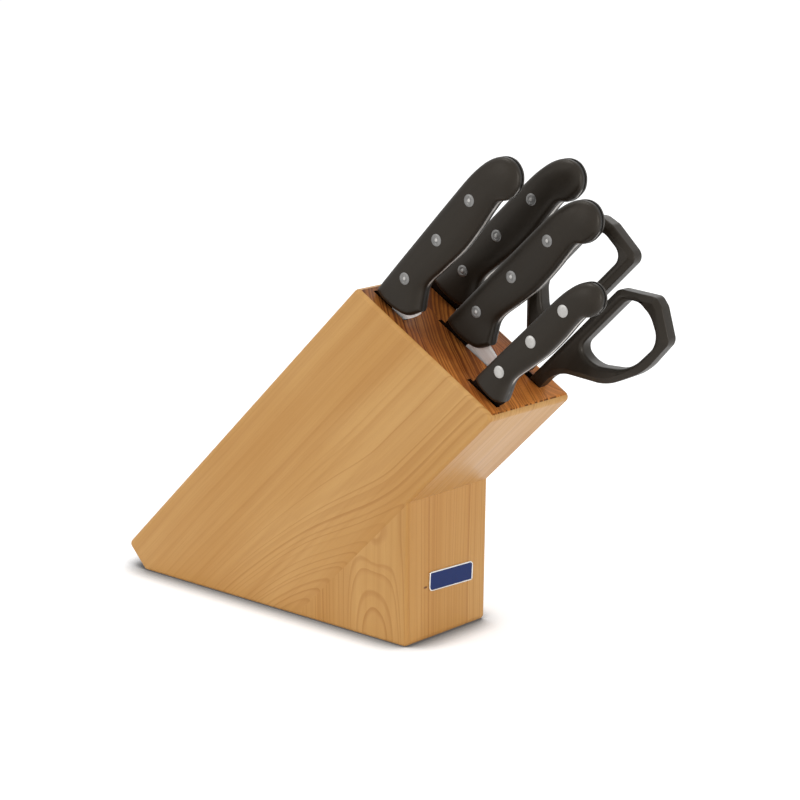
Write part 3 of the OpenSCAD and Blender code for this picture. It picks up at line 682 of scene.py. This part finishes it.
# places are shares of the grip's length and depth, so that both sizes of knife share them
handle = {
    "crown": 5.4, "rim": 0.5,                  # thickness of a scale at its fullest and at its edge
    "waist": 0.93,                             # how much of the crown is left halfway along
    "hollow": 0.14, "hollowAt": 0.2, "hollowSpread": 0.09,     # the finger's hollow in the belly
    "frontRound": 0.05, "buttRound": 0.24, "buttPower": 2.3, "sidePower": 2.7,
    "rivetStart": 0.19, "rivetDrop": 0.42,
    "stepsAlong": 110, "stepsDown": 44, "crowdAlong": 0.8, "crowdDown": 0.75,
    # each rib from the spine to the belly: its place on the spine, its place on the belly, its depth
    "ribs": [(0, 0.145, 1.09), (0.085, 0.185, 0.96), (0.19, 0.255, 0.81), (0.325, 0.375, 0.88),
             (0.48, 0.513, 0.965), (0.62, 0.64, 0.95), (0.72, 0.755, 0.89), (0.775, 0.815, 0.89),
             (0.815, 0.852, 1.02), (0.84, 0.89, 1.075)],
    "topDrop": [0, -0.004, -0.008, -0.011, -0.013, -0.012, -0.008, 0.003, 0.019, 0.034],
    "front": [(0, 0), (0.06, 0.28), (0.22, 0.59), (0.5, 0.86), (1, 1)],
    "butt": [(0.84, 0.034), (0.9, 0.095), (0.95, 0.205), (0.985, 0.37), (1, 0.59), (0.987, 0.84),
             (0.945, 1.03), (0.89, 1.075)],
    "endFade": 4,
}

largeGrip = {"length": 116, "depth": 23, "guardReach": 15, "guardDepth": 27.1, "rivetPitch": 0.2655}
smallGrip = {"length": 94, "depth": 18, "guardReach": 7, "guardDepth": 19.8, "rivetPitch": 0.284}

# "heel" is its distance past the guard, "point" the share of the depth by which the back drops at
# the point, and "satin" the share of the depth at which the bright ground part starts
knives = {
    "utility": {"grip": largeGrip, "tang": 1.8, "blade": 150, "deep": 18, "heel": -0.5,
                "bellyFrom": 0.6, "bellyPower": 2.4, "point": 0.15, "satin": 0.5, "ringed": True},
    "carving": {"grip": largeGrip, "tang": 2.0, "blade": 175, "deep": 24, "heel": -0.5,
                "bellyFrom": 0.6, "bellyPower": 2.4, "point": 0.3, "satin": 0.75, "ringed": True},
    "chef": {"grip": largeGrip, "tang": 2.0, "blade": 190, "deep": 43, "heel": -2,
             "bellyFrom": 0.3, "bellyPower": 2.2, "point": 0.25, "satin": 0.35, "ringed": True},
    "paring": {"grip": smallGrip, "tang": 1.6, "blade": 95, "deep": 17, "heel": 1,
               "bellyFrom": 0.5, "bellyPower": 2.4, "point": 0.2, "satin": 1, "ringed": False},
}

blade = {
    "heelRound": 2, "flareFrom": -3, "flarePower": 1.7, "dropFrom": 0.55, "taper": 0.45,
    "grindFrom": 0.3, "keen": 0.15, "leastDeep": 0.5, "stepsAlong": 90, "stepsDown": 10,
    # how deep the tang's rim is sunk along the spine and round the butt, and where that starts and ends
    "tangSunk": (0.03, 0.42), "buttFrom": 0.8, "buttTo": 0.92,
    "tangClear": 0.01,                         # of the scale on each side
}

rivet = {
    "across": 6.4, "proud": 0.2, "around": 48,
    # inset and rise of each ring on a head, from its rim to its middle
    "ringed": [(0.22, 0.12), (0.95, 0.02), (0.12, -0.14), (0.5, 0), (0.12, 0.12), (0.45, 0.1), (0.4, 0.03)],
    "plain": [(0.25, 0.14), (0.9, 0.06), (1.0, 0.03)],
}


def pin(bm, wide, sides, long, middle):
    # a round pin that lies across the blades
    place = Matrix.Translation(middle) @ Matrix.Rotation(math.radians(90), 4, "X")
    return bmesh.ops.create_cone(bm, cap_ends=True, segments=sides, radius1=wide / 2, radius2=wide / 2,
                                 depth=long, matrix=place)["verts"]


def gripFrame(name, k):
    # millimetre frame at the front of the grip's spine, found from the middle rivet
    low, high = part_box(name + "_rivets")
    out, across, up = slideAxes(name + "_draw")
    g = k["grip"]
    alongMiddle = (handle["rivetStart"] + g["rivetPitch"]) * g["length"] * mm
    underSpine = handle["rivetDrop"] * g["depth"] * mm
    return frameAt((out, across, up), (low + high) / 2 - out * alongMiddle + up * underSpine, mm)


def gripPoint(g, s, t):
    # a place in the grip's outline: s is its share along it and t its share down it
    ribs = handle["ribs"]
    n = len(ribs) - 1
    moreReach = g["guardReach"] - ribs[0][1] * g["length"]
    moreDepth = g["guardDepth"] - ribs[0][2] * g["depth"]
    more = [(1 - i / n) ** 2 for i in range(n + 1)]
    top = [(r[0] * g["length"], -drop * g["depth"]) for r, drop in zip(ribs, handle["topDrop"])]
    low = [(r[1] * g["length"] + moreReach * m, -r[2] * g["depth"] - moreDepth * m)
           for r, m in zip(ribs, more)]
    front = [(x * g["guardReach"], -z * g["guardDepth"]) for x, z in handle["front"]]
    butt = [(x * g["length"], -z * g["depth"]) for x, z in handle["butt"]]
    place = (1 - t) * catmull(top, s) + t * catmull(low, s)
    for ends, away in ((front, s), (butt, 1 - s)):       # the bulge of both ends fades out along the handle
        bulge = catmull(ends, t) - (1 - t) * Vector(ends[0]) - t * Vector(ends[-1])
        place += (1 - away) ** handle["endFade"] * bulge
    return place


def crowded(share, pull):
    return share - pull * math.sin(2 * math.pi * share) / (2 * math.pi)


def gripGrid(bm):
    steps = {"x_segments": handle["stepsAlong"], "y_segments": handle["stepsDown"]}
    return bmesh.ops.create_grid(bm, size=0.5, **steps)["verts"]


def gripShares(v):
    # how far along and down the grip a point of its grid lies, closer together near the edges
    return crowded(v.co.x + 0.5, handle["crowdAlong"]), crowded(0.5 - v.co.y, handle["crowdDown"])


def domed(share, power):
    return max(0, 1 - abs(share) ** power) ** (1 / power)


def scaleThickness(s, t):
    h = handle
    swell = h["waist"] + (1 - h["waist"]) * (2 * s - 1) ** 2
    cutIn = h["hollow"] * math.exp(-((s - h["hollowAt"]) / h["hollowSpread"]) ** 2) * t * t
    rise = domed(2 * t - 1, h["sidePower"]) * domed(max(0, 1 - s / h["frontRound"]), 2) \
        * domed(max(0, 1 - (1 - s) / h["buttRound"]), h["buttPower"])
    return h["rim"] + (h["crown"] * (swell - cutIn) - h["rim"]) * rise


def buildScale(name, k, side, place):
    bm = bmesh.new()
    for v in gripGrid(bm):
        s, t = gripShares(v)
        x, z = gripPoint(k["grip"], s, t)
        v.co = (x, side * (k["tang"] / 2 + scaleThickness(s, t)), z)
    wall = bmesh.ops.extrude_edge_only(bm, edges=[e for e in bm.edges if e.is_boundary])["geom"]
    for v in vertsIn(wall):
        v.co.y = side * k["tang"] / 2
    bmesh.ops.contextual_create(bm, geom=[e for e in bm.edges if e.is_boundary])
    bmesh.ops.recalc_face_normals(bm, faces=bm.faces[:])
    bm.transform(place)
    label = "near" if side < 0 else "far"
    piece = finishPiece(bm, f"{name}-{label}-scale", [gripPlastic], smoothBelow=50)
    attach(piece, name + "_knife")
    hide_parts(f"{name}_{label}_scale")


def rimInwards(border):
    # which way each point of a flat rim moves to sink it
    moves = []
    for v in {v for e in border for v in e.verts}:
        along = [e.other_vert(v).co - v.co for e in v.link_edges if e in border]
        inside = [e.other_vert(v).co - v.co for e in v.link_edges if e not in border]
        line = (along[0].normalized() - along[-1].normalized()).normalized()
        way = Vector((-line.z, 0, line.x))
        inwards = sum(inside or along, Vector())         # a corner has only its two rim edges
        if way.dot(inwards) < 0:
            way.negate()
        moves.append((v, way))
    return moves


def backOf(k, x):
    share = max(0, -x / k["blade"] - blade["dropFrom"]) / (1 - blade["dropFrom"])
    return -k["point"] * k["deep"] * share * share


def edgeOf(k, x):
    g, b = k["grip"], blade
    heelX = g["guardReach"] + k["heel"]
    share = max(0, -x / k["blade"] - k["bellyFrom"]) / (1 - k["bellyFrom"])
    past = max(0, x - heelX + b["heelRound"])
    heel = b["heelRound"] - math.sqrt(max(0, b["heelRound"] ** 2 - past ** 2))
    out = min(1, max(0, x - b["flareFrom"]) / (g["guardReach"] - b["flareFrom"]))
    flare = 1 - (1 - out) ** b["flarePower"]
    low = -k["deep"] + heel + (1 - k["point"]) * k["deep"] * share ** k["bellyPower"] \
        - max(0, g["guardDepth"] - k["deep"]) * flare
    return min(backOf(k, x) - b["leastDeep"], low)


def groundBlade(bm, k):
    # both faces from the point to the heel, wide at the back and ground down to the edge
    b = blade
    share = bm.verts.layers.float.new("down")
    heelX = k["grip"]["guardReach"] + k["heel"]
    bmesh.ops.create_grid(bm, x_segments=b["stepsAlong"], y_segments=b["stepsDown"], size=0.5)
    for v in bm.verts:
        down = 0.5 - v.co.y
        v[share] = down
        x = -k["blade"] + (heelX + k["blade"]) * (1 - math.cos(math.pi * (v.co.x + 0.5))) / 2
        top, low = backOf(k, x), edgeOf(k, x)
        full = k["tang"] / 2 * (1 - b["taper"] * max(0, -x / k["blade"]))
        ground = max(0, (down - b["grindFrom"]) / (1 - b["grindFrom"]))
        v.co = (x, full + (b["keen"] - full) * ground, top - down * (top - low))
    for f in bm.faces:
        f.material_index = 2 if all(loop.vert[share] > k["satin"] for loop in f.loops) else 0
    other = bmesh.ops.duplicate(bm, geom=bm.verts[:] + bm.edges[:] + bm.faces[:])["geom"]
    bmesh.ops.scale(bm, verts=vertsIn(other), vec=(1, -1, 1))
    bmesh.ops.bridge_loops(bm, edges=[e for e in bm.edges if e.is_boundary])


def fullTang(bm, k):
    # a plate in the grip's outline, nearly flush along the spine and sunk round the butt
    b = blade
    tang = gripGrid(bm)
    for v in tang:
        x, z = gripPoint(k["grip"], *gripShares(v))
        v.co = (x, b["tangClear"] - k["tang"] / 2, z)
    flat = list({f for v in tang for f in v.link_faces})
    for f in flat:
        f.material_index = 1
    shallow, deep = b["tangSunk"]
    for v, way in rimInwards({e for f in flat for e in f.edges if e.is_boundary}):
        past = v.co.x / k["grip"]["length"] - b["buttFrom"]
        v.co += way * (shallow + (deep - shallow) * min(1, max(0, past) / (b["buttTo"] - b["buttFrom"])))
    raised = bmesh.ops.extrude_face_region(bm, geom=flat)["geom"]
    for v in vertsIn(raised):
        v.co.y += k["tang"] - 2 * b["tangClear"]


def buildBlade(name, k, place):
    bm = bmesh.new()
    groundBlade(bm, k)
    fullTang(bm, k)
    bmesh.ops.recalc_face_normals(bm, faces=bm.faces[:])
    bm.transform(place)
    finishes = [metal[n] for n in ("bladeSteel", "tangSteel", "groundSteel")]
    piece = finishPiece(bm, f"{name}-steel", finishes, smoothBelow=30)
    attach(piece, name + "_knife")
    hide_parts(name + "_blade")


def buildRivets(name, k, place):
    g = k["grip"]
    bm = bmesh.new()
    rings = rivet["ringed" if k["ringed"] else "plain"]
    half = k["tang"] / 2 + handle["crown"] * handle["waist"] + rivet["proud"] - rings[0][1]
    for i in range(3):
        along = (handle["rivetStart"] + i * g["rivetPitch"]) * g["length"]
        middle = (along, 0, -handle["rivetDrop"] * g["depth"])
        made = pin(bm, rivet["across"], rivet["around"], 2 * half, middle)
        for cap in {f for v in made for f in v.link_faces if len(f.verts) > 4}:
            for n, (wide, rise) in enumerate(rings):
                bmesh.ops.inset_individual(bm, faces=[cap], thickness=wide, depth=rise, use_even_offset=True)
                # on ringed heads the middle is a painted highlight, in brighter steel than the rim
                if n == len(rings) - 2:
                    cap.material_index = 1       # the bright middle
    bmesh.ops.recalc_face_normals(bm, faces=bm.faces[:])
    bm.transform(place)
    rim = metal["ringSteel" if k["ringed"] else "rivetSteel"]
    piece = finishPiece(bm, f"{name}-rivets", [rim, metal["rivetSteel"]], smoothBelow=30)
    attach(piece, name + "_knife")
    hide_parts(name + "_rivets")


for knifeName, knife in knives.items():
    knifePlace = gripFrame(knifeName, knife)
    buildScale(knifeName, knife, -1, knifePlace)
    buildScale(knifeName, knife, 1, knifePlace)
    buildBlade(knifeName, knife, knifePlace)
    buildRivets(knifeName, knife, knifePlace)
    print(knifeName, "knife is built")


bows = {
    "thick": 10, "arcSteps": 8, "weld": 0.0005,
    # inset and rise of each ring on the moulded face: a soft rim, a wide chamfer and a soft ridge
    "outerRings": [(0.10, 0.38), (0.28, 0.34), (2.40, 1.30), (0.34, 0.13), (0.34, 0.04)],
    "holeRound": 2.4, "holeSteps": 6,
    # corners as along, up and radius, from the pivot
    "lower": {
        "edge": [(19.2, -2, 0), (21.4, -9.5, 0), (36, -9.5, 18), (57, -34, 25), (80, -42.5, 30),
                 (103, -41, 5), (111.5, -25, 4), (112.3, -19, 4), (97, -2, 5)],
        "hole": [(56.8, -9.3, 5), (57.4, -21.5, 14), (74, -36.8, 22), (98, -37, 10), (103.2, -24, 12),
                 (102, -9.3, 9)],
    },
    "upper": {
        "edge": [(19.2, 2, 0), (116.6, 2, 5), (115.8, 24, 6), (113, 32, 6), (104, 38, 10), (55, 38, 18),
                 (27, 9.5, 12), (17, 9.5, 0)],
        "hole": [(51.5, 8.7, 6), (109.8, 8.7, 6), (109, 24, 8), (103.5, 30.6, 8), (60, 30.6, 10),
                 (50.5, 19, 9)],
    },
}


def scissorFrame():
    # millimetre frame at the pivot
    low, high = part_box("pivot_screw")
    return frameAt(slideAxes("scissors_draw"), (low + high) / 2, mm)


def roundedFace(bm, corners, depth, steps):
    # a flat face at a depth with its corners rounded, looking towards the near side
    verts = [bm.verts.new((x, depth, z)) for x, z, radius in corners]
    pairs = zip(verts, verts[1:] + verts[:1])
    sides = [bmesh.ops.contextual_create(bm, geom=pair)["edges"][0] for pair in pairs]
    bmesh.ops.edgeloop_fill(bm, edges=sides)
    for i, (x, z, radius) in enumerate(corners):
        if radius:
            here, before, after = (Vector(corners[j % len(corners)][:2]) for j in (i, i - 1, i + 1))
            half = (before - here).angle(after - here) / 2
            bmesh.ops.bevel(bm, geom=[verts[i]], offset=radius / math.tan(half), offset_type="OFFSET",
                            segments=steps, profile=0.5, affect="VERTICES", material=-1)
    face = min(bm.faces, key=lambda f: abs(f.calc_center_bounds().y - depth))
    face.normal_update()
    if face.normal.y > 0:
        bmesh.ops.reverse_faces(bm, faces=[face])
    return face


def buildBow(name, b, body, place):
    # half a bow is raised ring by ring, and mirrored at its middle plane
    bm = bmesh.new()
    half = b["thick"] / 2
    risen = sum(rise for wide, rise in b["outerRings"])
    outer = roundedFace(bm, b[name]["edge"], risen - half, b["arcSteps"])
    for wide, rise in b["outerRings"]:
        stepIn(bm, outer, wide, rise)
    rims = list(outer.edges)
    bmesh.ops.delete(bm, geom=[outer], context="FACES_ONLY")
    hole = roundedFace(bm, b[name]["hole"], b["holeRound"] - half, b["arcSteps"])
    turns = [math.radians(90 * i / b["holeSteps"]) for i in range(b["holeSteps"] + 1)]
    for start, end in zip(turns, turns[1:]):
        wide = b["holeRound"] * (math.cos(start) - math.cos(end))
        stepIn(bm, hole, -wide, b["holeRound"] * (math.sin(end) - math.sin(start)))
    rims += list(hole.edges)
    bmesh.ops.delete(bm, geom=[hole], context="FACES_ONLY")
    bmesh.ops.triangle_fill(bm, edges=rims, use_beauty=True, use_dissolve=False, normal=(0, -1, 0))
    walls = bmesh.ops.extrude_edge_only(bm, edges=[e for e in bm.edges if e.is_boundary])["geom"]
    for v in vertsIn(walls):
        v.co.y = 0
    bmesh.ops.mirror(bm, geom=bm.verts[:] + bm.edges[:] + bm.faces[:], merge_dist=b["weld"], axis="Y")
    bmesh.ops.remove_doubles(bm, verts=bm.verts[:], dist=b["weld"])
    bmesh.ops.recalc_face_normals(bm, faces=bm.faces[:])
    bm.transform(place)
    piece = finishPiece(bm, name + "-bow", [bowPlastic], smoothBelow=40, weighted=True)
    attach(piece, body)
    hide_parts(name + "_bow")


# "short" is how far the shank stays inside each end, and "slotPast" how far the cutter overshoots
pivot = {"head": 9, "headSides": 64, "thick": 0.5, "headSoft": 0.18,
         "shank": 5, "shankSides": 48, "short": 0.05,
         "slotWide": 1.1, "slotDeep": 0.35, "slotTurn": 28, "slotPast": 0.5}


def buildPivot(p, body, place):
    # the screw, with its slotted head on the near side
    bm = bmesh.new()
    low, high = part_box("pivot_screw")
    reach = (high.y - low.y) / mm / 2
    pin(bm, p["shank"], p["shankSides"], 2 * (reach - p["short"]), (0, 0, 0))
    head = pin(bm, p["head"], p["headSides"], p["thick"], (0, p["thick"] / 2 - reach, 0))
    face = min({f for v in head for f in v.link_faces}, key=lambda f: f.calc_center_bounds().y)
    bmesh.ops.bevel(bm, geom=list(face.edges), offset=p["headSoft"], offset_type="OFFSET", segments=3,
                    profile=0.5, affect="EDGES", material=-1)
    piece = finishPiece(bm, "pivot-screw", [metal["rivetSteel"]], smoothBelow=30)
    cutter = bmesh.new()
    bmesh.ops.create_cube(cutter, size=1)
    size = (p["head"] + 2 * p["slotPast"], 2 * p["slotDeep"], p["slotWide"])
    bmesh.ops.scale(cutter, verts=cutter.verts[:], vec=size)
    turn = Matrix.Rotation(math.radians(p["slotTurn"]), 3, "Y")
    bmesh.ops.rotate(cutter, verts=cutter.verts[:], cent=(0, 0, 0), matrix=turn)
    bmesh.ops.translate(cutter, verts=cutter.verts[:], vec=(0, -reach, 0))
    tool = finishPiece(cutter, "slotTool", [metal["rivetSteel"]], smoothBelow=30)
    slot = piece.modifiers.new("slot", "BOOLEAN")
    slot.object, slot.operation, slot.solver = tool, "DIFFERENCE", "EXACT"
    bpy.context.view_layer.update()
    piece.data = bpy.data.meshes.new_from_object(piece.evaluated_get(bpy.context.evaluated_depsgraph_get()))
    piece.modifiers.clear()
    bpy.data.objects.remove(tool)
    piece.data.transform(place)
    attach(piece, body)
    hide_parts("pivot_screw")


scissorPlace = scissorFrame()
bodyOf = {node: body for body, nodes in frame["record"]["behaviour"]["bodies"].items() for node in nodes}
buildBow("lower", bows, bodyOf["lower_bow"], scissorPlace)
buildBow("upper", bows, bodyOf["upper_bow"], scissorPlace)
buildPivot(pivot, bodyOf["pivot_screw"], scissorPlace)
shearSoft = 0.12            # rounding of the shear blades' and the nut's edges
for node in ("upper_shear_blade", "lower_shear_blade", "pivot_nut"):
    piece = softCopy(node, node.replace("_", "-") + "-steel", metal["bladeSteel"], shearSoft, sharpAbove=30,
                     segments=2)
    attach(piece, bodyOf[node])
    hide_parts(node)
print("scissors are built")


badge = {"long": 36.4, "high": 10.8, "thick": 0.9, "up": 31.9, "lean": 2.5,
         "across": 0.537,        # share of the leg's width at the badge's middle
         "corners": (2.8, 1.2, 2.8, 1.2), "cornerSteps": 6,
         # inset and rise of the soft edge, the flat rim and the sunk field
         "rings": [(0.15, 0.12), (0.45, 0.03), (0.12, -0.25)]}


def buildBadge(b):
    # a bare plate on the leg's end
    low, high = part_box("leg")
    bm = bmesh.new()
    x, z = b["long"] / 2, b["high"] / 2
    corners = [(*spot, radius) for spot, radius in zip(((-x, -z), (x, -z), (x, z), (-x, z)), b["corners"])]
    body = bmesh.ops.extrude_face_region(bm, geom=[roundedFace(bm, corners, 0, b["cornerSteps"])])["geom"]
    front = [g for g in body if isinstance(g, bmesh.types.BMFace)][0]
    for v in front.verts:
        v.co.y -= b["thick"]
    bmesh.ops.recalc_face_normals(bm, faces=bm.faces[:])
    for wide, rise in b["rings"]:
        stepIn(bm, front, wide, rise)
    front.material_index = 1
    turn = Matrix.Rotation(math.radians(90), 4, "Z") @ Matrix.Rotation(math.radians(b["lean"]), 4, "Y")
    spot = Vector((high.x, low.y + b["across"] * (high.y - low.y), b["up"] * mm))
    bm.transform(Matrix.Translation(spot) @ turn @ Matrix.Scale(mm, 4))
    piece = finishPiece(bm, "bare-badge", [metal["plateRim"], plateBlue], smoothBelow=40)
    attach(piece, "block")


buildBadge(badge)
print("badge is built")
